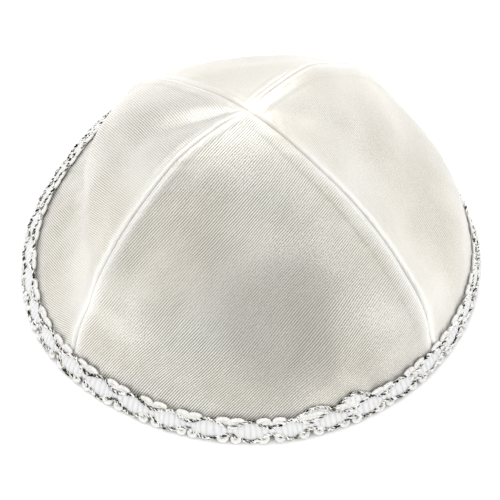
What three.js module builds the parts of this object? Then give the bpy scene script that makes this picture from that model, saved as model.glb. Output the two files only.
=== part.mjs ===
import * as THREE from 'three';

// All lengths are in millimetres and all azimuths in degrees from +X, anticlockwise seen from above.
// The four seams run from the apex, which stands on the origin's axis, down to the hem.
const clothThickness = 1.2;
const pieceGap = 0.32;
const columns = 16;
const rows = 16;
const profileSpans = 8;

// Braid layers, counted inwards from its outermost surface, and heights up its slope from the floor.
const cordRadius = 0.45;
const cordDepth = 0.45;
const edgingFront = 0.1;
const edgingBack = 0.85;
const tapeFront = 1.25;
const tapeBack = 2.0;
const clothDepth = 2.5;
const tapeTop = 8.2;
const cordSides = 5;
const cordSteps = 4;
const edgingSteps = 6;

// The two cords swell apart and pinch together in even waves round the rim, with a white picot and a
// white scallop on either side of each pinch.
const wave = { count: 37, pinchAzimuth: 275.5 };
const innerCord = { slope: 7.6, swell: 1 };
const outerCord = { slope: 2.65, swell: -0.75 };
const edgingGap = 0.75;
const innerEdging = { least: 0.4, betweenPicots: 9.7, crest: 10.6 };
const outerEdging = { least: 0.4, betweenPicots: 1.5, floorGap: 0.12 };

// The lapped end of the braid: azimuths it runs between, slope heights of its lobes, and depths.
const lap = { from: 282, to: 301.2, low: 8.6, pinch: 9.3, crest: 12.5, front: 1.2, back: 1.85, steps: 16 };

// Each seam from apex to hem, at even steps of the panel's length.
const frontLeftSeam = [
  { azimuth: 222, r: 0, z: 74 },
  { azimuth: 222, r: 15.5, z: 74.6 },
  { azimuth: 222, r: 30, z: 72 },
  { azimuth: 222, r: 42.4, z: 64.5 },
  { azimuth: 222, r: 54.2, z: 54.8 },
  { azimuth: 222, r: 64.2, z: 43.1 },
  { azimuth: 221.4, r: 71.8, z: 29.9 },
  { azimuth: 219.4, r: 77.3, z: 15.5 },
  { azimuth: 221.8, r: 83.5, z: 1.5 },
];
const frontRightSeam = [
  { azimuth: 324.8, r: 0, z: 74 },
  { azimuth: 324.8, r: 13.6, z: 70.5 },
  { azimuth: 324.8, r: 26.6, z: 64.8 },
  { azimuth: 324.8, r: 39.3, z: 58.1 },
  { azimuth: 324.8, r: 50.9, z: 49.5 },
  { azimuth: 324.5, r: 61.4, z: 39.3 },
  { azimuth: 323.1, r: 71, z: 28.3 },
  { azimuth: 322.2, r: 78.5, z: 15.5 },
  { azimuth: 322, r: 83.5, z: 1.5 },
];
const backRightSeam = [
  { azimuth: 45, r: 0, z: 74 },
  { azimuth: 45, r: 15.8, z: 74.8 },
  { azimuth: 45, r: 30.2, z: 72.9 },
  { azimuth: 45, r: 42.8, z: 64.7 },
  { azimuth: 45, r: 54.8, z: 55.3 },
  { azimuth: 44.8, r: 64, z: 43 },
  { azimuth: 43.9, r: 71.3, z: 29.6 },
  { azimuth: 43, r: 77.3, z: 15.5 },
  { azimuth: 42.5, r: 83.5, z: 1.5 },
];
const backLeftSeam = [
  { azimuth: 131.4, r: 0, z: 74 },
  { azimuth: 131.4, r: 13.3, z: 70 },
  { azimuth: 131.4, r: 26.3, z: 64.2 },
  { azimuth: 131.4, r: 39.1, z: 57.7 },
  { azimuth: 131.4, r: 51, z: 49.2 },
  { azimuth: 131, r: 61.1, z: 38.8 },
  { azimuth: 129.3, r: 69.5, z: 27.6 },
  { azimuth: 127.4, r: 76.5, z: 15.5 },
  { azimuth: 126.4, r: 83.5, z: 1.5 },
];

// One row per panel: its two seams, and how flat the cloth lies between them at each step down
// (0 follows a circle, 1 a straight chord).
const panels = [
  {
    name: 'panel_front',
    start: frontLeftSeam,
    end: frontRightSeam,
    flatness: [0.67, 0.62, 0.56, 0.5, 0.42, 0.33, 0.24, 0.05, 0],
  },
  {
    name: 'panel_right',
    start: frontRightSeam,
    end: backRightSeam,
    flatness: [0.8, 0.76, 0.7, 0.62, 0.5, 0.3, -0.02, -0.05, 0],
  },
  {
    name: 'panel_back',
    start: backRightSeam,
    end: backLeftSeam,
    flatness: [0.4, 0.4, 0.4, 0.42, 0.4, 0.34, 0.24, 0.1, 0],
  },
  {
    name: 'panel_left',
    start: backLeftSeam,
    end: frontLeftSeam,
    flatness: [0.12, 0.02, -0.07, -0.08, 0.05, 0.3, 0.6, 0.5, 0],
  },
];

// The rim every 30 degrees from azimuth 0: its radius at the floor, and how much it leans inwards.
const rim = [
  { radius: 85.3, lean: 0.33 },
  { radius: 82.6, lean: 0.4 },
  { radius: 84.4, lean: 0.5 },
  { radius: 87.4, lean: 0.62 },
  { radius: 88.6, lean: 0.85 },
  { radius: 82.4, lean: 0.95 },
  { radius: 83, lean: 0.85 },
  { radius: 84.9, lean: 0.62 },
  { radius: 83.9, lean: 0.61 },
  { radius: 84.6, lean: 0.53 },
  { radius: 84.7, lean: 0.36 },
  { radius: 85.4, lean: 0.33 },
];

// Soft folds: where each starts and ends across (u) and down (v) its panel, its half width across,
// and its height, which is negative for a dent.
const folds = [
  { panel: 'panel_front', u0: 0.6, v0: 0.3, u1: 0.58, v1: 0.84, width: 0.2, height: -2.6 },
  { panel: 'panel_front', u0: 0.76, v0: 0.68, u1: 0.64, v1: 0.98, width: 0.05, height: 1.3 },
  { panel: 'panel_front', u0: 0.63, v0: 0.7, u1: 0.54, v1: 0.96, width: 0.05, height: -1.1 },
  { panel: 'panel_front', u0: 0.07, v0: 0.5, u1: 0.09, v1: 0.92, width: 0.05, height: -1.4 },
  { panel: 'panel_left', u0: 0.62, v0: 0.08, u1: 0.58, v1: 0.5, width: 0.16, height: -2.2 },
  { panel: 'panel_left', u0: 0.66, v0: 0.62, u1: 0.6, v1: 0.9, width: 0.12, height: -2 },
  { panel: 'panel_left', u0: 0.86, v0: 0.52, u1: 0.94, v1: 0.92, width: 0.07, height: -1.5 },
  { panel: 'panel_right', u0: 0.5, v0: 0.14, u1: 0.45, v1: 0.42, width: 0.16, height: -1.6 },
  { panel: 'panel_right', u0: 0.16, v0: 0.6, u1: 0.12, v1: 0.94, width: 0.09, height: -1.6 },
  { panel: 'panel_back', u0: 0.5, v0: 0.5, u1: 0.52, v1: 0.88, width: 0.18, height: -1.6 },
];

const satin = { color: '#f3efe6', roughness: 0.42, metalness: 0 };
const whiteBraid = { color: '#f4f6f8', roughness: 0.75, metalness: 0 };
const silverThread = { color: '#c4c7c6', roughness: 0.35, metalness: 0.9 };

const radians = THREE.MathUtils.degToRad;
const lerp = THREE.MathUtils.lerp;
const smooth = (x) => THREE.MathUtils.smoothstep(x, 0, 1);

function catmull(a, b, c, d, t) {
  const startSlope = (c - a) / 2;
  const endSlope = (d - b) / 2;
  const cubic = 2 * b - 2 * c + startSlope + endSlope;
  const square = -3 * b + 3 * c - 2 * startSlope - endSlope;
  return ((cubic * t + square) * t + startSlope) * t + b;
}

function alongRow(values, position) {
  const last = values.length - 1;
  const i = Math.min(Math.floor(position), last - 1);
  const before = values[Math.max(i - 1, 0)];
  const after = values[Math.min(i + 2, last)];
  return catmull(before, values[i], values[i + 1], after, position - i);
}

function roundRim(column, azimuth) {
  const count = rim.length;
  const position = (azimuth / 360) * count;
  const i = Math.floor(position);
  const at = (k) => rim[(((i + k) % count) + count) % count][column];
  return catmull(at(-1), at(0), at(1), at(2), position - i);
}

const seamColumn = (seam, key, position) => alongRow(seam.map((row) => row[key]), position);
const turnBetween = (first, second) => (second - first + 360) % 360;

// A point of the smooth panel: u runs from its first seam to its second, v from apex to hem.
function smoothPoint(panel, u, v) {
  const position = v * profileSpans;
  const between = (key) => [panel.start, panel.end].map((seam) => seamColumn(seam, key, position));
  const [first, second] = between('azimuth');
  const span = turnBetween(first, second);
  const azimuth = first + span * u;
  const seamRadius = lerp(...between('r'), u);
  const z = lerp(...between('z'), u);
  const chord = Math.cos(radians(span / 2)) / Math.cos(radians(span * (u - 0.5)));
  const domeRadius = seamRadius * lerp(1, chord, alongRow(panel.flatness, position));
  const lean = roundRim('lean', azimuth);
  const inset = clothDepth * smooth((position - 5.6) / 2) * Math.hypot(1, lean);
  const hemRadius = roundRim('radius', azimuth) - lean * z - inset;
  const r = lerp(domeRadius, hemRadius, smooth((position - 5.2) / 2.2));
  return new THREE.Vector3(r * Math.cos(radians(azimuth)), r * Math.sin(radians(azimuth)), z);
}

function smoothNormal(panel, u, v) {
  const step = 0.002;
  const low = Math.max(v, 0.02);
  const across = smoothPoint(panel, Math.min(u + step, 1), low);
  across.sub(smoothPoint(panel, Math.max(u - step, 0), low));
  const down = smoothPoint(panel, u, Math.min(v + step, 1));
  down.sub(smoothPoint(panel, u, Math.max(v - step, 0.001)));
  return down.cross(across).normalize();
}

function foldHeight(panel, u, v) {
  let height = 0;
  for (const fold of folds.filter((row) => row.panel === panel.name)) {
    const s = THREE.MathUtils.clamp((v - fold.v0) / (fold.v1 - fold.v0), -0.5, 1.5);
    const sideways = (u - lerp(fold.u0, fold.u1, s)) / fold.width;
    const beyond = Math.max(0, Math.abs(s - 0.5) - 0.25) / 0.3;
    height += fold.height * Math.exp(-sideways * sideways - beyond * beyond);
  }
  return height * smooth(u / 0.12) * smooth((1 - u) / 0.12) * smooth((0.93 - v) / 0.12) * smooth(v / 0.1);
}

function clothPoint(panel, u, v) {
  const normal = smoothNormal(panel, u, v);
  return smoothPoint(panel, u, v).addScaledVector(normal, foldHeight(panel, u, v));
}

// The direction through the cloth. At a seam both neighbours use the mean of their two normals, so
// their edge faces lie side by side.
function throughCloth(index, u, v) {
  const panel = panels[index];
  const own = smoothNormal(panel, u, v);
  if (v === 0) return new THREE.Vector3(0, 0, clothThickness);
  if (u > 0 && u < 1) return own.multiplyScalar(clothThickness);
  const other = panels[(index + (u === 0 ? panels.length - 1 : 1)) % panels.length];
  const shared = own.clone().add(smoothNormal(other, 1 - u, v)).normalize();
  return shared.multiplyScalar(clothThickness / Math.max(shared.dot(own), 0.6));
}

function meshFrom(name, points, triangles, look) {
  const geometry = new THREE.BufferGeometry();
  geometry.setAttribute('position', new THREE.Float32BufferAttribute(points.flatMap((p) => p.toArray()), 3));
  geometry.setIndex(triangles.flat());
  geometry.computeVertexNormals();
  const mesh = new THREE.Mesh(geometry, new THREE.MeshStandardMaterial(look));
  mesh.name = name;
  return mesh;
}

const quad = (a, b, c, d) => [[a, b, c], [a, c, d]];

function panelMesh(index) {
  const panel = panels[index];
  const first = panel.start[0].azimuth;
  const halfSpan = turnBetween(first, panel.end[0].azimuth) / 2;
  const middle = radians(first + halfSpan);
  const away = pieceGap / 2 / Math.sin(radians(halfSpan));
  const shift = new THREE.Vector3(away * Math.cos(middle), away * Math.sin(middle), 0);
  const points = [];
  for (const layer of [0, 1]) {
    for (let j = 0; j <= rows; j += 1) {
      for (let i = j === 0 ? columns : 0; i <= columns; i += 1) {
        const u = i / columns;
        const v = j / rows;
        const point = clothPoint(panel, u, v).add(shift);
        points.push(point.addScaledVector(throughCloth(index, u, v), -layer));
      }
    }
  }
  const layerSize = points.length / 2;
  const outer = (i, j) => (j === 0 ? 0 : 1 + (j - 1) * (columns + 1) + i);
  const inner = (i, j) => layerSize + outer(i, j);
  const triangles = [];
  for (let i = 0; i < columns; i += 1) {
    triangles.push([outer(i, 0), outer(i, 1), outer(i + 1, 1)]);
    triangles.push([inner(i, 0), inner(i + 1, 1), inner(i, 1)]);
    for (let j = 1; j < rows; j += 1) {
      triangles.push(...quad(outer(i, j), outer(i, j + 1), outer(i + 1, j + 1), outer(i + 1, j)));
      triangles.push(...quad(inner(i, j), inner(i + 1, j), inner(i + 1, j + 1), inner(i, j + 1)));
    }
    triangles.push(...quad(outer(i, rows), inner(i, rows), inner(i + 1, rows), outer(i + 1, rows)));
  }
  for (let j = 0; j < rows; j += 1) {
    const last = columns;
    triangles.push(...quad(outer(0, j), inner(0, j), inner(0, j + 1), outer(0, j + 1)));
    triangles.push(...quad(outer(last, j), outer(last, j + 1), inner(last, j + 1), inner(last, j)));
  }
  return meshFrom(panel.name, points, triangles, satin);
}

// A point of the braid: slope is the height up its leaning face, depth the distance inwards from it.
function braidPoint(azimuth, slope, depth) {
  const lean = roundRim('lean', azimuth);
  const rise = 1 / Math.hypot(1, lean);
  const r = roundRim('radius', azimuth) - rise * (lean * slope + depth);
  const z = rise * (slope - lean * depth);
  return new THREE.Vector3(r * Math.cos(radians(azimuth)), r * Math.sin(radians(azimuth)), z);
}

// A ring swept round the rim: sectionAt gives the section's corners, anticlockwise seen from its start.
function ringMesh(name, steps, sectionAt, look) {
  const points = [];
  const triangles = [];
  for (let i = 0; i < steps; i += 1) points.push(...sectionAt(wave.pinchAzimuth + (360 * i) / steps, i));
  const sides = points.length / steps;
  const at = (i, k) => (i % steps) * sides + (k % sides);
  for (let i = 0; i < steps; i += 1) {
    for (let k = 0; k < sides; k += 1) {
      triangles.push(...quad(at(i, k), at(i + 1, k), at(i + 1, k + 1), at(i, k + 1)));
    }
  }
  return meshFrom(name, points, triangles, look);
}

// The tape's lower face is level and lies on the floor.
function tapeSection(azimuth) {
  const lean = roundRim('lean', azimuth);
  return [
    braidPoint(azimuth, lean * tapeFront, tapeFront),
    braidPoint(azimuth, tapeTop, tapeFront),
    braidPoint(azimuth, tapeTop, tapeBack),
    braidPoint(azimuth, lean * tapeBack, tapeBack),
  ];
}

// 1 where the braid is widest and -1 where it is pinched.
const swellAt = (azimuth) => -Math.cos(radians(wave.count * (azimuth - wave.pinchAzimuth)));
const cordSlope = (cord, azimuth) => cord.slope + cord.swell * swellAt(azimuth);

function cordMesh(name, cord) {
  const section = (azimuth) => {
    const slope = cordSlope(cord, azimuth);
    const corners = [];
    for (let k = 0; k < cordSides; k += 1) {
      const turn = (2 * Math.PI * k) / cordSides;
      const depth = cordDepth - cordRadius * Math.cos(turn);
      corners.push(braidPoint(azimuth, slope + cordRadius * Math.sin(turn), depth));
    }
    return corners;
  };
  return ringMesh(name, wave.count * cordSteps, section, silverThread);
}

function edgingSection(azimuth, low, high) {
  return [
    braidPoint(azimuth, low, edgingFront),
    braidPoint(azimuth, high, edgingFront),
    braidPoint(azimuth, high, edgingBack),
    braidPoint(azimuth, low, edgingBack),
  ];
}

// How an edging reaches at its step in the wave: a crest beside the pinch, less at the pinch, and a
// narrow strip where the cord swells outwards.
function edgingReach(edging, i, crest, narrow) {
  const step = i % edgingSteps;
  if (step === 1 || step === edgingSteps - 1) return crest;
  return step === 0 ? edging.betweenPicots : narrow;
}

function innerEdgingSection(azimuth, i) {
  const low = cordSlope(innerCord, azimuth) + edgingGap;
  return edgingSection(azimuth, low, edgingReach(innerEdging, i, innerEdging.crest, low + innerEdging.least));
}

function outerEdgingSection(azimuth, i) {
  const high = cordSlope(outerCord, azimuth) - edgingGap;
  const lean = roundRim('lean', azimuth);
  const lowest = outerEdging.floorGap * Math.hypot(1, lean) + lean * edgingBack;
  const low = edgingReach(outerEdging, i, lowest, high - outerEdging.least);
  return edgingSection(azimuth, Math.max(low, lowest), high);
}

function lapMesh() {
  const points = [];
  const triangles = [];
  for (let i = 0; i <= lap.steps; i += 1) {
    const azimuth = lerp(lap.from, lap.to, i / lap.steps);
    const high = lerp(lap.pinch, lap.crest, Math.sin((2 * Math.PI * i) / lap.steps) ** 2);
    points.push(braidPoint(azimuth, lap.low, lap.front));
    points.push(braidPoint(azimuth, high, lap.front));
    points.push(braidPoint(azimuth, high, lap.back));
    points.push(braidPoint(azimuth, lap.low, lap.back));
  }
  const at = (i, k) => i * 4 + (k % 4);
  for (let i = 0; i < lap.steps; i += 1) {
    for (let k = 0; k < 4; k += 1) {
      triangles.push(...quad(at(i, k), at(i + 1, k), at(i + 1, k + 1), at(i, k + 1)));
    }
  }
  triangles.push(...quad(0, 1, 2, 3));
  triangles.push(...quad(at(lap.steps, 3), at(lap.steps, 2), at(lap.steps, 1), at(lap.steps, 0)));
  return meshFrom('braid_lap', points, triangles, whiteBraid);
}

const kippah = new THREE.Group();
kippah.name = 'kippah';
kippah.add(...panels.map((panel, index) => panelMesh(index)));
kippah.add(ringMesh('braid_tape', wave.count * cordSteps, tapeSection, whiteBraid));
kippah.add(cordMesh('silver_cord_inner', innerCord));
kippah.add(cordMesh('silver_cord_outer', outerCord));
kippah.add(ringMesh('picot_edge_inner', wave.count * edgingSteps, innerEdgingSection, whiteBraid));
kippah.add(ringMesh('picot_edge_outer', wave.count * edgingSteps, outerEdgingSection, whiteBraid));
kippah.add(lapMesh());

// The origin goes to the middle of the base of the whole cap.
const box = new THREE.Box3().setFromObject(kippah);
const centre = box.getCenter(new THREE.Vector3());
for (const mesh of kippah.children) mesh.geometry.translate(-centre.x, -centre.y, -box.min.z);

export default kippah;
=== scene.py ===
import math
import bpy
import numpy as np
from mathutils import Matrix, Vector


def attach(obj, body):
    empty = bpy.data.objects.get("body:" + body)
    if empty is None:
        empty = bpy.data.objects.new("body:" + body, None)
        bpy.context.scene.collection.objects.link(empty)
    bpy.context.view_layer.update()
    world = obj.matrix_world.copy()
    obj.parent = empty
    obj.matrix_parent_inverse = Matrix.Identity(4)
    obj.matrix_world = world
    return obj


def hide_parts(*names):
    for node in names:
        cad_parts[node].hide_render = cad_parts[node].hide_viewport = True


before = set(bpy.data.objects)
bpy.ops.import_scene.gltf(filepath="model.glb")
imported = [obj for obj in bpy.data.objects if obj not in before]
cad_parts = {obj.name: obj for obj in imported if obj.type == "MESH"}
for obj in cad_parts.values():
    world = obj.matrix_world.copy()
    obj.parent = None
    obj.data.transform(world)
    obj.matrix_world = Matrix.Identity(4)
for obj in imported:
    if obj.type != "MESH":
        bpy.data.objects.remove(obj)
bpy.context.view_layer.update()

print("frame loaded")

# Lengths are in millimetres here and go to metres in toFrame. Azimuths are in degrees from +X,
# anticlockwise from above, and the front gore faces -Y.

shot = {
    "elevation": 52,
    "distance": 0.6,
    "lens": 117.9,
    "lookAt": (-0.0003, -0.00264, 0.0),
}
back = Vector((0, -math.cos(math.radians(shot["elevation"])), math.sin(math.radians(shot["elevation"]))))
camera = bpy.data.objects.new("camera", bpy.data.cameras.new("camera"))
camera.data.lens = shot["lens"]
camera.data.sensor_width = 36
camera.location = Vector(shot["lookAt"]) + back * shot["distance"]
camera.rotation_euler = back.to_track_quat("Z", "Y").to_euler()
bpy.context.scene.collection.objects.link(camera)
bpy.context.scene.camera = camera


# the cap's cloth
crown = {
    "apexX": -1.299,        # where the four gores meet, from the middle of the base
    "apexY": -1.443,
    "thickness": 1.1,
    "clothDepth": 1.7,      # how far the hem lies behind the braid's face
    "seamGap": 0.02,
    "across": 132,
    "down": 122,
}

seams = {
    "frontLeft": {
        "azimuth": [222, 222, 222, 222, 222, 222, 221.4, 219.4, 221.8],
        "r": [0, 15.5, 30, 42.4, 54.2, 64.2, 71.8, 77.3, 83.5],
        "z": [74, 74.6, 72, 64.5, 54.8, 43.1, 29.9, 15.5, 1.5],
    },
    "frontRight": {
        "azimuth": [324.8, 324.8, 324.8, 324.8, 324.8, 324.5, 323.1, 322.2, 322],
        "r": [0, 13.6, 26.6, 39.3, 50.9, 61.4, 71, 78.5, 83.5],
        "z": [74, 70.5, 64.8, 58.1, 49.5, 39.3, 28.3, 15.5, 1.5],
    },
    "backRight": {
        "azimuth": [45, 45, 45, 45, 45, 44.8, 43.9, 43, 42.5],
        "r": [0, 15.8, 30.2, 42.8, 54.8, 64, 71.3, 77.3, 83.5],
        "z": [74, 74.8, 72.9, 64.7, 55.3, 43, 29.6, 15.5, 1.5],
    },
    "backLeft": {
        "azimuth": [131.4, 131.4, 131.4, 131.4, 131.4, 131, 129.3, 127.4, 126.4],
        "r": [0, 13.3, 26.3, 39.1, 51, 61.1, 69.5, 76.5, 83.5],
        "z": [74, 70, 64.2, 57.7, 49.2, 38.8, 27.6, 15.5, 1.5],
    },
}

# How a gore's cloth lies beside a seam: the ditch in the seam, the rolled welt beside it, a second
# pressed line, and the step where the seam allowance underneath ends.
plainEdge = {
    "ditch": 0.4,
    "welt": 0.2,
    "second": 0.12, "secondAt": 2.6,
    "allowance": 6, "step": 0.22,
    "pucker": 0.1,
}
rolledEdge = dict(plainEdge, welt=0.4, second=0.05, step=0.15, pucker=0.16)
pressedEdge = dict(plainEdge, welt=0.12, second=0.16, secondAt=1.05, allowance=7, step=0.3)
narrowPressedEdge = dict(pressedEdge, second=0.1, allowance=4.2)

# In seam order round the cap: how strongly the twill's painted shade shows, set per gore for how the light
# falls across its lines, how strongly the grain shows, the twill's angle on the laid-out gore, and how flat
# the cloth lies between its seams from apex to hem (0 round, 1 straight).
gores = [
    {
        "name": "goreFront", "node": "panel_front",
        "start": "frontLeft", "end": "frontRight",
        "startEdge": narrowPressedEdge, "endEdge": pressedEdge,
        "flatness": [0.67, 0.62, 0.56, 0.5, 0.42, 0.33, 0.24, 0.05, 0],
        "twillShow": 1.0, "twillAngle": 47, "grain": 3.2,
        # painted shade where the cloth sags into a dent, in mm on the laid-out gore
        "sagShade": {"across": 10, "along": 72, "wide": 26, "long": 29, "depth": 0.34},
    },
    {
        "name": "goreRight", "node": "panel_right",
        "start": "frontRight", "end": "backRight",
        "startEdge": rolledEdge, "endEdge": pressedEdge,
        "flatness": [0.8, 0.76, 0.7, 0.62, 0.5, 0.3, -0.02, -0.05, 0],
        "twillShow": 0.4, "twillAngle": 48, "grain": 1.8,
    },
    {
        "name": "goreBack", "node": "panel_back",
        "start": "backRight", "end": "backLeft",
        "startEdge": plainEdge, "endEdge": plainEdge,
        "flatness": [0.4, 0.4, 0.4, 0.42, 0.4, 0.34, 0.24, 0.1, 0],
        "twillShow": 0.3, "twillAngle": 48, "grain": 1.3,
    },
    {
        "name": "goreLeft", "node": "panel_left",
        "start": "backLeft", "end": "frontLeft",
        "startEdge": plainEdge, "endEdge": rolledEdge,
        "flatness": [0.12, 0.02, -0.07, -0.08, 0.05, 0.3, 0.6, 0.5, 0],
        "twillShow": 0.7, "twillAngle": 40, "grain": 1.4,
    },
]

# The rim every 30 degrees from azimuth 0: radius at the floor, and how much it leans inwards.
rim = {
    "radius": [85.3, 82.6, 84.4, 87.4, 88.6, 82.4, 83, 84.9, 83.9, 84.6, 84.7, 85.4],
    "lean": [0.33, 0.4, 0.5, 0.62, 0.85, 0.95, 0.85, 0.62, 0.61, 0.53, 0.36, 0.33],
}

# Soft folds: from (u0, v0) to (u1, v1) across and down the gore, half width across, height.
folds = {
    "goreFront": [
        {"u0": 0.6, "v0": 0.3, "u1": 0.58, "v1": 0.84, "width": 0.2, "height": -2.6},
        {"u0": 0.76, "v0": 0.68, "u1": 0.64, "v1": 0.98, "width": 0.05, "height": 1.3},
        {"u0": 0.63, "v0": 0.7, "u1": 0.54, "v1": 0.96, "width": 0.05, "height": -1.1},
        {"u0": 0.07, "v0": 0.5, "u1": 0.09, "v1": 0.92, "width": 0.05, "height": -1.4},
    ],
    "goreLeft": [
        {"u0": 0.62, "v0": 0.08, "u1": 0.58, "v1": 0.5, "width": 0.16, "height": -2.2},
        {"u0": 0.66, "v0": 0.62, "u1": 0.6, "v1": 0.9, "width": 0.12, "height": -2},
        {"u0": 0.86, "v0": 0.52, "u1": 0.94, "v1": 0.92, "width": 0.07, "height": -1.5},
    ],
    "goreRight": [
        {"u0": 0.5, "v0": 0.14, "u1": 0.45, "v1": 0.42, "width": 0.16, "height": -1.6},
        {"u0": 0.16, "v0": 0.6, "u1": 0.12, "v1": 0.94, "width": 0.09, "height": -1.6},
    ],
    "goreBack": [
        {"u0": 0.5, "v0": 0.5, "u1": 0.52, "v1": 0.88, "width": 0.18, "height": -1.6},
    ],
}


def ease(x):
    x = np.clip(x, 0, 1)
    return x * x * (3 - 2 * x)


def catmull(a, b, c, d, t):
    slopeB, slopeC = (c - a) / 2, (d - b) / 2
    cubic = 2 * b - 2 * c + slopeB + slopeC
    square = 3 * c - 3 * b - 2 * slopeB - slopeC
    return ((cubic * t + square) * t + slopeB) * t + b


def alongRow(values, position):
    values = np.asarray(values, float)
    last = len(values) - 1
    i = np.minimum(position.astype(int), last - 1)
    before, after = values[np.maximum(i - 1, 0)], values[np.minimum(i + 2, last)]
    return catmull(before, values[i], values[i + 1], after, position - i)


def aroundRim(column, azimuth):
    values = np.asarray(rim[column], float)
    position = np.asarray(azimuth, float) * len(values) / 360
    i = np.floor(position).astype(int)
    a, b, c, d = (values[(i + k) % len(values)] for k in (-1, 0, 1, 2))
    return catmull(a, b, c, d, position - i)


def polar(azimuth, r, z):
    turn = np.radians(azimuth)
    return np.stack([r * np.cos(turn), r * np.sin(turn), z + 0 * r], axis=-1)


# u runs across a gore from its first seam to its second, v down it from the apex to the hem.
def smoothCloth(gore, u, v):
    start, end = seams[gore["start"]], seams[gore["end"]]
    position = v * 8
    first = alongRow(start["azimuth"], position)
    span = (alongRow(end["azimuth"], position) - first) % 360
    azimuth = first + span * u
    r = alongRow(start["r"], position) * (1 - u) + alongRow(end["r"], position) * u
    z = alongRow(start["z"], position) * (1 - u) + alongRow(end["z"], position) * u
    chord = np.cos(np.radians(span / 2)) / np.cos(np.radians(azimuth - first - span / 2))
    dome = r * (1 + (chord - 1) * alongRow(gore["flatness"], position))
    lean = aroundRim("lean", azimuth)
    inset = crown["clothDepth"] * ease((position - 5.6) / 2) * np.hypot(1, lean)
    hem = aroundRim("radius", azimuth) - lean * z - inset
    blend = ease((position - 5.2) / 2.2)
    return polar(azimuth, dome * (1 - blend) + hem * blend, z)


def unit(vectors):
    return vectors / np.maximum(np.linalg.norm(vectors, axis=-1, keepdims=True), 1e-9)


def clothNormal(gore, u, v):
    step = 0.002
    low = np.maximum(v, 0.02)
    left, right = np.maximum(u - step, 0), np.minimum(u + step, 1)
    above, below = np.maximum(v - step, 0.001), np.minimum(v + step, 1)
    across = smoothCloth(gore, right, low) - smoothCloth(gore, left, low)
    down = smoothCloth(gore, u, below) - smoothCloth(gore, u, above)
    return unit(np.cross(down, across))


def foldHeight(name, u, v):
    height = 0 * u
    for fold in folds[name]:
        s = np.clip((v - fold["v0"]) / (fold["v1"] - fold["v0"]), -0.5, 1.5)
        sideways = (u - fold["u0"] - (fold["u1"] - fold["u0"]) * s) / fold["width"]
        beyond = np.maximum(0, np.abs(s - 0.5) - 0.25) / 0.3
        height = height + fold["height"] * np.exp(-sideways ** 2 - beyond ** 2)
    return height * ease(u / 0.12) * ease((1 - u) / 0.12) * ease((0.93 - v) / 0.12) * ease(v / 0.1)


def ripple(x, seed, shortest, longest, waves=5):
    random = np.random.default_rng(seed)
    total = 0 * x
    for k in range(waves):
        length = shortest * (longest / shortest) ** (k / (waves - 1)) * random.uniform(0.9, 1.1)
        total = total + np.sin(2 * np.pi * x / length + random.uniform(0, 2 * np.pi))
    return total / math.sqrt(waves)


def besideSeam(edge, d, along, seed):
    height = edge["welt"] * np.exp(-((d - 1.4) / 0.85) ** 2) - edge["ditch"] * np.exp(-(d / 0.36) ** 2)
    height -= edge["second"] * np.exp(-((d - edge["secondAt"]) / 0.3) ** 2)
    height += edge["step"] * ease((edge["allowance"] - d) / 1.6)
    gathers = ripple(along + 0.5 * d, seed, 4.5, 15) * np.exp(-d / 4.5) * (1 - np.exp(-d / 0.8))
    return height + edge["pucker"] * gathers


def toFrame(points):
    return (points + np.array([crown["apexX"], crown["apexY"], 0])) * 0.001


def meshFrom(name, points, faces, attributes=None):
    mesh = bpy.data.meshes.new(name)
    mesh.from_pydata(toFrame(points.reshape(-1, 3)).tolist(), [], faces)
    for key, values in (attributes or {}).items():
        stored = mesh.attributes.new(key, "FLOAT_VECTOR", "POINT").data
        stored.foreach_set("vector", values.astype(np.float32).ravel())
    mesh.shade_smooth()
    piece = bpy.data.objects.new(name, mesh)
    bpy.context.scene.collection.objects.link(piece)
    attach(piece, "root")
    return piece


# A shader value, so that shader maths can be written as plain expressions.
class Value:
    def __init__(self, finish, socket):
        self.finish, self.socket = finish, socket

    def maths(self, operation, *inputs):
        return self.finish.add("ShaderNodeMath", {"operation": operation}, dict(enumerate(inputs)))

    def __add__(self, other): return self.maths("ADD", self, other)
    def __radd__(self, other): return self.maths("ADD", other, self)
    def __sub__(self, other): return self.maths("SUBTRACT", self, other)
    def __rsub__(self, other): return self.maths("SUBTRACT", other, self)
    def __mul__(self, other): return self.maths("MULTIPLY", self, other)
    def __rmul__(self, other): return self.maths("MULTIPLY", other, self)
    def __truediv__(self, other): return self.maths("DIVIDE", self, other)
    def __rtruediv__(self, other): return self.maths("DIVIDE", other, self)
    def __pow__(self, other): return self.maths("POWER", self, other)
    def __rpow__(self, other): return self.maths("POWER", other, self)
    def sine(self): return self.maths("SINE", self)
    def larger(self, other): return self.maths("MAXIMUM", self, other)

    # 0 at the start, 1 at the full value, whichever is larger
    def between(self, start, full):
        settings = {"interpolation_type": "SMOOTHSTEP"}
        return self.finish.add("ShaderNodeMapRange", settings, {0: self, 1: start, 2: full})


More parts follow.
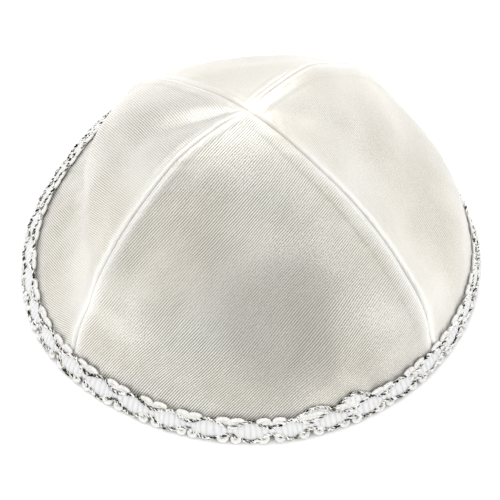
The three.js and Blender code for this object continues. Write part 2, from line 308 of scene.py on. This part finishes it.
class Finish:
    def __init__(self, name, world=None):
        self.material = world or bpy.data.materials.new(name)
        self.material.use_nodes = True
        self.tree = self.material.node_tree
        self.tree.nodes.clear()

    def add(self, kind, settings=None, sockets=None, out=0):
        node = self.tree.nodes.new(kind)
        for key, value in (settings or {}).items():
            if key == "stops":
                while len(node.color_ramp.elements) < len(value):
                    node.color_ramp.elements.new(0.5)
                for element, (place, colour) in zip(node.color_ramp.elements, value):
                    element.position, element.color = place, colour
            else:
                setattr(node, key, value)
        for key, value in (sockets or {}).items():
            if isinstance(value, Value):
                self.tree.links.new(value.socket, node.inputs[key])
            else:
                node.inputs[key].default_value = value
        return Value(self, node.outputs[out]) if len(node.outputs) else None

    def mix(self, factor, a, b):
        return self.add("ShaderNodeMix", {"data_type": "RGBA"}, {0: factor, 6: a, 7: b}, 2)

    def place(self, attribute):
        vector = self.add("ShaderNodeAttribute", {"attribute_name": attribute}, None, 1)
        return [self.add("ShaderNodeSeparateXYZ", None, {0: vector}, k) for k in range(3)]

    def joined(self, x, y, z=0.0):
        return self.add("ShaderNodeCombineXYZ", None, {0: x, 1: y, 2: z})

    def noise(self, vector, scale, detail=2.0, roughness=0.5):
        sockets = {"Vector": vector, "Scale": scale, "Detail": detail, "Roughness": roughness}
        return self.add("ShaderNodeTexNoise", None, sockets)

    def bump(self, height, distance, strength=1.0):
        sockets = {"Height": height, "Distance": distance, "Strength": strength}
        return self.add("ShaderNodeBump", None, sockets)

    def surface(self, sockets):
        shader = self.add("ShaderNodeBsdfPrincipled", None, sockets)
        self.add("ShaderNodeOutputMaterial", None, {0: shader})
        return self.material


def wear(piece, material, slotName, *nodes):
    piece.data.materials.append(material)
    if nodes:
        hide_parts(*nodes)
    return piece


satinLook = {
    "light": (0.775, 0.755, 0.7, 1),
    "warm": (0.75, 0.715, 0.64, 1),
    "pressedAndHemLight": (0.86, 0.85, 0.815, 1),    # doubled cloth beside a seam, and above the hem also painted light where the braid shades the cloth
    "pressedAndHemLightShare": 0.55,
    "welt": (0.95, 0.945, 0.925, 1),      # painted highlight on the rolled edge right beside a seam
    "weltHighlightShare": 0.35,
    "line": (0.3, 0.287, 0.25, 1),        # the shaded side of a twill line, also the painted shade where the front gore sags
    "seamDitchShade": (0.4, 0.37, 0.32, 1),       # painted shade in the seam's ditch
    "seamDitchShadeShare": 0.45,
    "twillPitch": 0.755,                  # mm between the twill's diagonal lines
    "midContrast": 0.55,                  # how much stronger the twill's painted shade reads in the middle of a gore
    "roughness": 0.38,
    "lustre": 0.58,
    "sheen": 0.4,
}


def makeSatin(gore):
    f = Finish(gore["name"] + "Satin")
    across, along, fromSeam = f.place("clothFlat")
    toHem = f.place("clothHem")[0]
    flat = f.joined(across, along, gore["twillShow"] * 100)

    # bias runs square to the twill's lines and counter along them
    slant = math.radians(gore["twillAngle"])
    bias = across * math.sin(slant) + along * math.cos(slant) + f.noise(flat, 0.07, 2) * 0.8
    counter = across * math.cos(slant) - along * math.sin(slant)
    slub = f.noise(f.joined(bias * 2.4, counter * 0.16), 1.0, 3)
    beads = f.noise(f.joined(bias * 1.3, counter * 1.9), 1.0, 2, 0.6)
    speckle = f.noise(flat, 1.9, 2, 0.7)
    line = (bias * (2 * math.pi / satinLook["twillPitch"]) + slub * 1.5).sine() * 0.5 + 0.5
    strength = f.noise(flat, 0.045, 2).between(0.32, 0.62) * 0.5 + 0.5
    strength = strength * (fromSeam.between(0.8, 5) * 0.75 + 0.25)
    strength = strength * (fromSeam.between(12, 34) * satinLook["midContrast"] + 1)
    # painted shade: the twill's lines take the shade colour, stronger by each gore's twillShow and in a
    # gore's middle, with the grain's speckle mixed in
    marks = (line * 1.4 - 0.35) * (beads * 0.9 + 0.5) * strength * gore["twillShow"]
    marks = marks + (speckle - 0.5) * (fromSeam.between(2, 24) * 0.65 + 0.35) * gore["grain"]

    belowApex = along.between(10, 34)
    # doubled cloth within a few mm of a seam is lighter; the band above the hem is also painted light,
    # brightening the cloth where the braid shades it
    doubledAndHemLight = (fromSeam.between(5.5, 0.5) * belowApex).larger(toHem.between(14, 9))
    colour = f.mix(f.noise(flat, 0.022, 2).between(0.35, 0.7), satinLook["light"], satinLook["warm"])
    colour = f.mix(doubledAndHemLight * satinLook["pressedAndHemLightShare"], colour, satinLook["pressedAndHemLight"])
    # painted shade: the sagging middle of the gore is darkened towards the twill's shade colour
    if "sagShade" in gore:
        sagShade = gore["sagShade"]
        sideways = (across - sagShade["across"]) / sagShade["wide"]
        downwards = (along - sagShade["along"]) / sagShade["long"]
        sagShadeMask = (sideways ** 2 + downwards ** 2).between(1, 0.05)
        colour = f.mix(sagShadeMask * sagShade["depth"], colour, satinLook["line"])
    # painted highlight: the welt beside each seam is lightened below the apex
    colour = f.mix(fromSeam.between(2, 1.2) * belowApex * satinLook["weltHighlightShare"], colour, satinLook["welt"])
    colour = f.mix(marks, colour, satinLook["line"])
    # painted shade: the cloth darkens in the ditch along each seam
    colour = f.mix(fromSeam.between(0.32, 0.05) * satinLook["seamDitchShadeShare"], colour, satinLook["seamDitchShade"])
    return f.surface({
        "Base Color": colour,
        "Metallic": satinLook["lustre"],
        "Roughness": satinLook["roughness"] + (slub - 0.5) * 0.25 + line * 0.08,
        "Sheen Weight": satinLook["sheen"],
        "Sheen Roughness": 0.4,
        "Specular IOR Level": 0.7,
        "IOR": 1.6,
        "Normal": f.bump(line * 0.6 * strength + beads * 0.5 + slub * 0.3, 0.0001),
    })


# The gore laid flat with the least stretch: fifth-order surfaces over the measured widths and
# lengths, turned towards the nearest rotation a few times over.
def cutPattern(points, across, along):
    halfLength = 60
    p, q = across / halfLength, along / halfLength - 1
    terms = np.stack([p ** i * q ** j for i in range(6) for j in range(6 - i)])
    pick = (slice(8, None, 6), slice(0, None, 6))
    acrossStep, downStep = np.gradient(points, axis=1)[pick], np.gradient(points, axis=0)[pick]
    size = np.linalg.norm(acrossStep, axis=2)
    first = acrossStep / size[..., None]
    lean = (downStep * first).sum(axis=2)
    rest = np.linalg.norm(downStep - lean[..., None] * first, axis=2)
    alongFirst = np.gradient(terms, axis=2)[(slice(None),) + pick] / size
    alongSecond = (np.gradient(terms, axis=1)[(slice(None),) + pick] - lean * alongFirst) / rest
    weight = np.sqrt(size * rest).ravel()
    slopes = [(part.reshape(len(terms), -1) * weight).T for part in (alongFirst, alongSecond)]
    system = np.concatenate(slopes)
    turn = 0 * weight
    for _ in range(30):
        cosine, sine = np.cos(turn) * weight, np.sin(turn) * weight
        x = np.linalg.lstsq(system, np.concatenate([cosine, -sine]), rcond=None)[0]
        y = np.linalg.lstsq(system, np.concatenate([sine, cosine]), rcond=None)[0]
        slopeX, slopeY = (system @ x).reshape(2, -1), (system @ y).reshape(2, -1)
        turn = np.arctan2(slopeY[0] - slopeX[1], slopeX[0] + slopeY[1])
    stretch = np.hypot(slopeX[0], slopeY[0]) / weight
    print("stretch left in the pattern", np.round(np.percentile(stretch, (2, 50, 98)), 3))
    return np.tensordot(x, terms, 1), np.tensordot(y, terms, 1) + halfLength


# A grid's rows as one list of points, with the apex row, which is all one point, taken once.
def apexOnce(grid):
    return np.concatenate([grid[:1, 0], grid[1:].reshape(-1, 3)])


def makeGore(index, gore):
    columns, rows = crown["across"], crown["down"]
    t = np.linspace(0, 1, columns + 1)
    u, v = np.meshgrid(t - 0.13 * np.sin(2 * np.pi * t), np.linspace(0, 1, rows + 1))
    smooth = smoothCloth(gore, u, v)
    normal = clothNormal(gore, u, v)
    stepsAcross = np.linalg.norm(np.diff(smooth, axis=1), axis=2)
    fromStart = np.concatenate([np.zeros((rows + 1, 1)), np.cumsum(stepsAcross, axis=1)], axis=1)
    width = fromStart[:, -1:]
    toEnd = width - fromStart
    stepsDown = np.linalg.norm(np.diff(smooth[:, columns // 2], axis=0), axis=1)
    along = np.concatenate([[0], np.cumsum(stepsDown)])[:, None] + 0 * u
    across = fromStart - width / 2

    # beside a seam both gores lean into it along one shared direction
    before, after = gores[index - 1], gores[(index + 1) % len(gores)]
    sharedStart = unit(clothNormal(before, 1 + 0 * v[:, :1], v[:, :1]) + normal[:, :1])
    sharedEnd = unit(clothNormal(after, 0 * v[:, :1], v[:, :1]) + normal[:, -1:])
    nearStart, nearEnd = (1 - ease(fromStart / 3))[..., None], (1 - ease(toEnd / 3))[..., None]
    own = normal * (1 - nearStart) * (1 - nearEnd)
    direction = unit(own + sharedStart * nearStart + sharedEnd * nearEnd)

    narrow = ease(width / 16)
    seamHeight = besideSeam(gore["startEdge"], fromStart, along, index * 7 + 1)
    seamHeight = seamHeight + besideSeam(gore["endEdge"], toEnd, along, index * 7 + 2)
    body = ease(np.minimum(fromStart, toEnd) / 12)
    waves = ripple(across + 0.25 * along, index * 7 + 3, 12, 40) * 0.05 * body
    waves = waves + ripple(along - 0.3 * across, index * 7 + 4, 16, 50) * 0.08 * body
    nearHem = ease((v - 0.5) / 0.4)
    gathers = ripple(across, index * 7 + 5, 2.4, 7) * 0.035 + ripple(across, index * 7 + 6, 8, 20) * 0.09
    gathers = gathers * nearHem * body
    folded = foldHeight(gore["name"], u, v)
    height = folded + seamHeight * narrow + waves + gathers
    height = np.where(v > 0.985, height * 0.4, height)

    first, last = (seams[gore[side]]["azimuth"][0] for side in ("start", "end"))
    aside = polar(first + 0.5 * ((last - first) % 360), crown["seamGap"], 0)
    outer = smooth + direction * height[..., None] + aside
    inner = smooth + direction * (folded + waves + gathers * 0.6 - crown["thickness"])[..., None] + aside

    points = np.concatenate([apexOnce(outer), apexOnce(inner)])
    count = len(points) // 2
    grid = 1 + np.arange(rows * (columns + 1)).reshape(rows, columns + 1)
    faces = []
    for base, turned in ((0, False), (count, True)):
        g = grid + base
        quads = np.stack([g[:-1, :-1], g[1:, :-1], g[1:, 1:], g[:-1, 1:]], axis=-1).reshape(-1, 4)
        tips = np.stack([np.full(columns, base), g[0, :-1], g[0, 1:]], axis=-1)
        for part in (quads, tips):
            faces += (part[:, ::-1] if turned else part).tolist()
    hem = np.stack([grid[-1, :-1], grid[-1, :-1] + count, grid[-1, 1:] + count, grid[-1, 1:]], axis=-1)
    faces += hem.tolist()
    for column, flip in ((0, False), (columns, True)):
        side = np.concatenate([[0], grid[:, column]])
        wall = np.stack([side[:-1], side[:-1] + count, side[1:] + count, side[1:]], axis=-1)
        faces += (wall[:, ::-1] if flip else wall).tolist()

    flatAcross, flatAlong = cutPattern(smooth, across, along)
    flat = np.stack([flatAcross, flatAlong, np.minimum(fromStart, toEnd)], axis=-1)
    toHem = np.stack([along[-1] - along, 0 * along, 0 * along], axis=-1)
    piece = meshFrom(gore["name"], points, faces, {
        "clothFlat": np.tile(apexOnce(flat), (2, 1)),
        "clothHem": np.tile(apexOnce(toHem), (2, 1)),
    })
    wear(piece, makeSatin(gore), "satin", gore["node"])


for index, gore in enumerate(gores):
    makeGore(index, gore)
print("gores made")


# The braid round the rim. Its two silver edges wave apart and together, in slope heights up from the
# floor along the leaning rim.
braid = {
    "waves": 37,
    "pinchAzimuth": 275.5,
    "wander": 0.35,           # degrees that the waves stray from even
    "innerSlope": 7.7, "innerSwell": 1.1,
    "outerSlope": 2.55, "outerSwell": -1.15,
}


# The point at a slope height up from the floor and a depth inwards from the braid's face.
def braidPlace(azimuth, slope, depth):
    lean = aroundRim("lean", azimuth)
    rise = 1 / np.hypot(1, lean)
    r = aroundRim("radius", azimuth) - rise * (lean * slope + depth)
    return polar(azimuth, r, rise * (slope - lean * depth))


def braidFacing(azimuth):
    lean = aroundRim("lean", azimuth)
    rise = 1 / np.hypot(1, lean)
    return polar(azimuth, rise, lean * rise)


# The slope height at which a round strand of this radius just clears the floor.
def lowestSlope(azimuth, depth, radius):
    lean = aroundRim("lean", azimuth)
    return (radius + 0.12) * np.hypot(1, lean) + lean * depth


def stray(azimuth, seed):
    random = np.random.default_rng(seed)
    turn = np.radians(azimuth)
    total = 0 * turn
    for k in (5, 9, 14, 23, 31, 47):
        total = total + np.sin(k * turn + random.uniform(0, 2 * np.pi))
    return total / math.sqrt(6)


def wavePhase(azimuth):
    return braid["waves"] * (azimuth - braid["pinchAzimuth"] + braid["wander"] * stray(azimuth, 41)) / 360


def swell(azimuth):
    return -np.cos(2 * np.pi * wavePhase(azimuth))


def innerSlope(azimuth):
    return braid["innerSlope"] + braid["innerSwell"] * swell(azimuth) + 0.16 * stray(azimuth, 42)


def outerSlope(azimuth):
    slope = braid["outerSlope"] + braid["outerSwell"] * swell(azimuth) + 0.16 * stray(azimuth, 43)
    return np.maximum(slope, lowestSlope(azimuth, 0.55, 0.62))


silverCord = {
    "plies": 2,
    "plyRadius": 0.34,
    "layRadius": 0.3,
    "pitch": 2.5,
    "perTurn": 10,
    "sides": 7,
    "depth": 0.5,
    "uneven": 0.12,
}


# painted reflection: the black and dark brown flecks stand for dark surroundings mirrored in the silver and
# the shade between its plies, the whites for bright surroundings
silverLook = {
    "stops": [
        (0.465, (0.003, 0.002, 0.001, 1)),
        (0.478, (0.12, 0.095, 0.07, 1)),
        (0.492, (0.8, 0.79, 0.75, 1)),
        (0.52, (0.99, 0.99, 0.98, 1)),
    ],
    "glint": (0.74, 0.72, 0.42, 1),
    "metal": 0.3,
}


def makeSilver():
    f = Finish("silverThread")
    along, turn, height = f.place("cordPlace")
    spun = f.joined(along, turn * 0.8, height)
    fleck = f.noise(f.joined(along * 0.55, turn * 0.6, height * 0.6), 1.0, 1, 0.5)
    grain = f.noise(spun, 4.0, 2, 0.6)
    # painted reflection and shade: flecks of black and white along the thread
    shine = f.add("ShaderNodeValToRGB", {"stops": silverLook["stops"]}, {0: fleck * 0.85 + grain * 0.15})
    return f.surface({
        "Base Color": f.mix(f.noise(spun, 0.7, 1).between(0.6, 0.68) * 0.45, shine, silverLook["glint"]),
        "Metallic": silverLook["metal"],
        "Specular IOR Level": 0.15,
        "Roughness": 0.25 + 0.3 * grain,
        "Normal": f.bump(fleck, 0.0006, 0.7),
    })


silver = makeSilver()


# Circles round a line's points, in the plane of its outward and sideways directions.
def ringsRound(out, side, angles, flat=1.0):
    cosine, sine = np.cos(angles)[:, None], np.sin(angles)[:, None]
    return flat * cosine * out[:, None] + sine * side[:, None]


def twistedCord(name, azimuth, slope, depth, closed):
    centres = braidPlace(azimuth, slope, depth)
    if closed:
        centres, azimuth = np.concatenate([centres, centres[:1]]), np.append(azimuth, azimuth[0] + 360)
    arc = np.concatenate([[0], np.cumsum(np.linalg.norm(np.diff(centres, axis=0), axis=1))])
    turns = max(2, round(arc[-1] / silverCord["pitch"]))
    steps = turns * silverCord["perTurn"]
    even = np.linspace(0, arc[-1], steps + 1)
    line = np.stack([np.interp(even, arc, centres[:, k]) for k in range(3)], axis=1)
    facing = braidFacing(np.interp(even, arc, azimuth))
    if closed:
        line, facing, even = line[:-1], facing[:-1], even[:-1]
        tangent = unit(np.roll(line, -1, axis=0) - np.roll(line, 1, axis=0))
    else:
        tangent = unit(np.gradient(line, axis=0))
    side = unit(np.cross(tangent, facing))
    out = np.cross(side, tangent)
    points, places, faces = [], [], []
    sides, count = silverCord["sides"], len(line)
    angles = 2 * np.pi * np.arange(sides) / sides
    for ply in range(silverCord["plies"]):
        turn = 2 * np.pi * (even * turns / arc[-1] + ply / silverCord["plies"])
        aside = np.cos(turn)[:, None] * out + np.sin(turn)[:, None] * side
        centre = line + silverCord["layRadius"] * aside
        radius = silverCord["plyRadius"] * (1 + silverCord["uneven"] * ripple(even, 60 + ply, 0.9, 4))
        ring = radius[:, None, None] * ringsRound(out, side, angles)
        points.append((centre[:, None] + ring).reshape(-1, 3))
        along, around = np.broadcast_arrays(even[:, None] + ply * 3.7, angles)
        places.append(np.stack([along, np.cos(around), np.sin(around)], axis=-1).reshape(-1, 3))
        faces += tubeFaces(count, sides, closed, ply * count * sides)
    return meshFrom(name, np.concatenate(points), faces, {"cordPlace": np.concatenate(places)})


def tubeFaces(count, sides, closed, first=0):
    i = np.arange(count if closed else count - 1)[:, None]
    k = np.arange(sides)[None]
    a = i * sides + k
    b = i * sides + (k + 1) % sides
    c = (i + 1) % count * sides + (k + 1) % sides
    d = (i + 1) % count * sides + k
    faces = (np.stack([a, b, c, d], axis=-1).reshape(-1, 4) + first).tolist()
    if not closed:
        last = first + (count - 1) * sides
        faces += [list(range(first, first + sides))[::-1], list(range(last, last + sides))]
    return faces


fine = np.linspace(0, 360, 4000, endpoint=False)
innerCord = twistedCord("silverCordInner", fine, innerSlope(fine), silverCord["depth"], True)
wear(innerCord, silver, "silver_thread", "silver_cord_inner")
outerCord = twistedCord("silverCordOuter", fine, outerSlope(fine), silverCord["depth"], True)
wear(outerCord, silver, "silver_thread", "silver_cord_outer")
print("silver cords twisted")


gimpLook = {
    "name": "whiteGimp",
    "white": (0.86, 0.862, 0.866, 1),
    "shade": (0.56, 0.555, 0.56, 1),
    "roughness": 0.62,
}
loopLook = {
    "name": "loopThread",
    "white": (0.95, 0.945, 0.925, 1),
    "shade": (0.58, 0.55, 0.49, 1),
    "roughness": 0.5,
}


def makeThread(look):
    f = Finish(look["name"])
    along, height, groove = f.place("gimpPlace")
    thread = (along * 17 + f.noise(f.joined(along, height), 0.8, 2) * 3).sine() * 0.5 + 0.5
    fuzz = f.noise(f.joined(along, height), 2.6, 3)
    shade = groove * 0.75 + thread * 0.12 + (fuzz - 0.5) * 0.3
    return f.surface({
        "Base Color": f.mix(shade, look["white"], look["shade"]),
        "Roughness": look["roughness"] + 0.2 * (fuzz - 0.5),
        "Sheen Weight": 0.3,
        "Normal": f.bump(thread * 0.5 + fuzz * 0.5, 0.0005, 0.6),
    })


gimp = makeThread(gimpLook)
loopThread = makeThread(loopLook)

core = {
    "ribsPerWave": 7,
    "stepsPerRib": 8,
    "acrossSteps": 12,
    "edgeDepth": 1.1,
    "crown": 0.7,             # how far the middle stands out from the edges
    "ribHeight": 0.34,
    "backDepth": 1.45,
    "outerTuck": 0.25,        # how far its edges go in beside the cords
    "innerTuck": 0.3,
}


def ribbedCore(name, azimuth, low, high, closed, behind=0.0):
    t = np.linspace(0, 1, core["acrossSteps"])
    phase = wavePhase(azimuth) * core["ribsPerWave"]
    lift = np.sin(np.pi * np.clip(t, 0.02, 0.98)) ** 0.55
    rib = np.abs(np.cos(np.pi * (phase[:, None] + 0.22 * (t - 0.5)))) ** 0.55
    wide = np.clip((high - low) / 6.0, 0.25, 1.1)[:, None]
    swelling = core["crown"] * lift * wide ** 0.5 + core["ribHeight"] * (rib - 0.5) * lift
    depth = behind + core["edgeDepth"] - swelling
    slope = low[:, None] + (high - low)[:, None] * t
    front = braidPlace(azimuth[:, None] + 0 * t, slope, depth)
    backs = np.stack([braidPlace(azimuth, s, behind + core["backDepth"]) for s in (high, low)], axis=1)
    section = np.concatenate([front, backs], axis=1)
    count, sides = section.shape[:2]
    groove = (1 - rib) ** 1.5 * (0.4 + 0.6 * lift) + 0.35 * (1 - lift)
    along = np.radians(azimuth) * 84
    place = np.stack([along[:, None] + 0 * t, slope, groove], axis=-1)
    backSlope = np.stack([high, low], axis=1)
    backPlace = np.stack([along[:, None] + 0 * backSlope, backSlope, 0 * backSlope + 0.5], axis=-1)
    places = np.concatenate([place, backPlace], axis=1)
    return meshFrom(name, section.reshape(-1, 3), tubeFaces(count, sides, closed), {"gimpPlace": places})


ringSteps = braid["waves"] * core["ribsPerWave"] * core["stepsPerRib"]
ringAzimuth = np.linspace(0, 360, ringSteps, endpoint=False)
coreLow = outerSlope(ringAzimuth) + core["outerTuck"]
coreHigh = innerSlope(ringAzimuth) - core["innerTuck"]
braidCore = ribbedCore("braidCore", ringAzimuth, coreLow, coreHigh, True)
wear(braidCore, gimp, "white_braid", "braid_tape")
print("ribbed core made")

picot = {
    "offset": 0.17,           # of a wave, either side of the pinch
    "halfWidth": 1.15,
    "halfHeight": 0.95,
    "radius": 0.9,
    "flat": 0.62,
    "depth": 0.6,
    "tilt": 0.8,              # mm that a loop's foot lies behind its tip
    "steps": 26,
    "sides": 8,
}
scallop = {
    "offset": 0.18,
    "halfWidth": 1.8,
    "halfHeight": 0.8,
    "radius": 0.85,
    "flat": 0.6,
    "depth": 0.85,
    "tilt": -0.3,
    "reach": 10.3,
    "steps": 26,
    "sides": 8,
}


def loopsMesh(name, loops, style):
    random = np.random.default_rng(7)
    points, places, faces = [], [], []
    turn = np.linspace(0, 2 * np.pi, style["steps"], endpoint=False)
    angles = 2 * np.pi * np.arange(style["sides"]) / style["sides"]
    for azimuth, slope in loops:
        size = random.uniform(0.88, 1.1)
        skew = random.uniform(-0.25, 0.25)
        tilt = random.uniform(-0.25, 0.25)
        sideways = style["halfWidth"] * size * (np.sin(turn) + skew * np.cos(turn))
        upwards = style["halfHeight"] * size * np.cos(turn)
        at = azimuth + np.degrees(sideways / aroundRim("radius", azimuth))
        depth = style["depth"] + (tilt + style["tilt"]) * np.cos(turn) * 0.5
        line = braidPlace(at, np.maximum(slope + upwards, lowestSlope(at, depth, style["radius"])), depth)
        tangent = unit(np.roll(line, -1, axis=0) - np.roll(line, 1, axis=0))
        side = unit(np.cross(tangent, braidFacing(at)))
        out = np.cross(side, tangent)
        ring = ringsRound(out, side, angles, style["flat"])
        thick = style["radius"] * (1 + 0.06 * np.cos(9 * turn + skew * 20))[:, None, None]
        faces += tubeFaces(len(line), style["sides"], True, len(points) * style["steps"] * style["sides"])
        points.append((line[:, None] + thick * ring).reshape(-1, 3))
        along, around = np.broadcast_arrays(turn[:, None] * 2.2 + azimuth * 3, angles)
        place = np.stack([along, np.sin(around), 0.2 - 0.2 * np.cos(around)], axis=-1)
        places.append(place.reshape(-1, 3))
    return meshFrom(name, np.concatenate(points), faces, {"gimpPlace": np.concatenate(places)})


def besidePinches(offset):
    places = []
    for wave in range(braid["waves"]):
        for side in (-1, 1):
            azimuth = braid["pinchAzimuth"] + 360 * (wave + side * offset) / braid["waves"]
            places.append(azimuth - braid["wander"] * float(stray(np.array(azimuth), 41)))
    return np.array(places)


at = besidePinches(picot["offset"])
low = lowestSlope(at, picot["depth"], picot["radius"]) + picot["halfHeight"]
picots = loopsMesh("picotLoops", list(zip(at, low)), picot)
wear(picots, loopThread, "white_braid", "picot_edge_outer")

at = besidePinches(scallop["offset"])
middle = scallop["reach"] - scallop["halfHeight"] - scallop["radius"]
scallops = loopsMesh("scallopLoops", [(a, middle) for a in at], scallop)
wear(scallops, loopThread, "white_braid", "picot_edge_inner")

# the band the scallops are looped on, seen between them
headingBand = {"low": 6.8, "high": 8.5, "behind": 0.1}
level = 0 * ringAzimuth
heading = ribbedCore("scallopHeading", ringAzimuth, level + headingBand["low"], level + headingBand["high"],
                     True, headingBand["behind"])
wear(heading, loopThread, "white_braid")
print("picots and scallops looped")


# the lapped end of the braid, which lies higher
lap = {
    "from": 282,
    "to": 301.2,
    "low": 8.2,
    "pinch": 9.0,
    "crest": 12.4,
    "firstLobe": 0.72,        # the first lobe's height against the second's
    "depth": 0.9,
    "coreBehind": 0.1,
}
lapAzimuth = np.linspace(lap["from"], lap["to"], 360)
share = (lapAzimuth - lap["from"]) / (lap["to"] - lap["from"])
lobes = np.abs(np.sin(2 * np.pi * share)) ** 1.3
lobes = lobes * (lap["firstLobe"] + (1 - lap["firstLobe"]) * ease(4 * share - 1.5))
lapSlope = lap["pinch"] + (lap["crest"] - lap["pinch"]) * lobes
lapHigh = np.maximum(lapSlope - 0.35, lap["low"] + 0.3)
lapCore = ribbedCore("lapCore", lapAzimuth, 0 * lapSlope + lap["low"], lapHigh, False, lap["coreBehind"])
wear(lapCore, gimp, "white_braid", "braid_lap")
lapCord = twistedCord("lapCord", lapAzimuth, lapSlope, lap["depth"], False)
wear(lapCord, silver, "silver_thread")
print("lapped end made")


studio = {
    "floor": (0.95, 0.95, 0.95, 1),
    "world": (1.0, 1.0, 1.0, 1),
    # darker patches of the room that the satin mirrors: direction, where they start and are full, tone
    "dim": [
        {"toward": (-0.489, 0.847, 0.208), "start": 0.8, "full": 0.95, "tone": (0.66, 0.66, 0.65, 1)},
        {"toward": (-0.529, -0.846, 0.07), "start": 0.86, "full": 0.97, "tone": (0.55, 0.55, 0.54, 1)},
        {"toward": (0.199, -0.86, 0.469), "start": 0.89, "full": 0.98, "tone": (0.03, 0.03, 0.035, 1)},
    ],
    "worldStrength": 1.06,
}


def makeFloor():
    f = Finish("paleFloor")
    grain = f.noise(f.add("ShaderNodeTexCoord", None, None, 3), 30.0, 2)
    tone = f.mix(grain * 0.03, studio["floor"], (0.9, 0.9, 0.9, 1))
    return f.surface({"Base Color": tone, "Roughness": 0.8, "Specular IOR Level": 0.2})


mesh = bpy.data.meshes.new("floor")
mesh.from_pydata([(-3, -3, 0), (3, -3, 0), (3, 3, 0), (-3, 3, 0)], [], [(0, 1, 2, 3)])
floor = bpy.data.objects.new("floor", mesh)
bpy.context.scene.collection.objects.link(floor)
floor.data.materials.append(makeFloor())


def softLight(name, place, aim, size, power, mirrored=True):
    light = bpy.data.objects.new(name, bpy.data.lights.new(name, "AREA"))
    light.data.shape = "RECTANGLE"
    light.data.size, light.data.size_y = size
    light.data.energy = power
    light.visible_glossy = mirrored
    light.location = place
    light.rotation_euler = (Vector(place) - Vector(aim)).to_track_quat("Z", "Y").to_euler()
    bpy.context.scene.collection.objects.link(light)


softLight("topLight", (-0.08, 0.5, 0.87), (0, 0, 0.03), (0.9, 0.6), 3.6)
softLight("lowLeft", (-0.75, -0.65, 0.42), (0, 0, 0.02), (0.6, 0.4), 2.8, False)
softLight("lowRight", (0.75, -0.65, 0.42), (0, 0, 0.02), (0.6, 0.4), 2.8, False)
world = bpy.data.worlds.new("studio")
world.use_nodes = True
sky = Finish("sky", world)
looking = sky.add("ShaderNodeTexCoord")
shade = studio["world"]
for patch in studio["dim"]:
    towards = {0: looking, 1: patch["toward"]}
    facing = sky.add("ShaderNodeVectorMath", {"operation": "DOT_PRODUCT"}, towards, 1)
    shade = sky.mix(facing.between(patch["start"], patch["full"]), shade, patch["tone"])
glow = sky.add("ShaderNodeBackground", None, {0: shade, 1: studio["worldStrength"]})
sky.add("ShaderNodeOutputWorld", None, {0: glow})
bpy.context.scene.world = world
bpy.context.scene.view_settings.view_transform = "Standard"
print("studio lit")
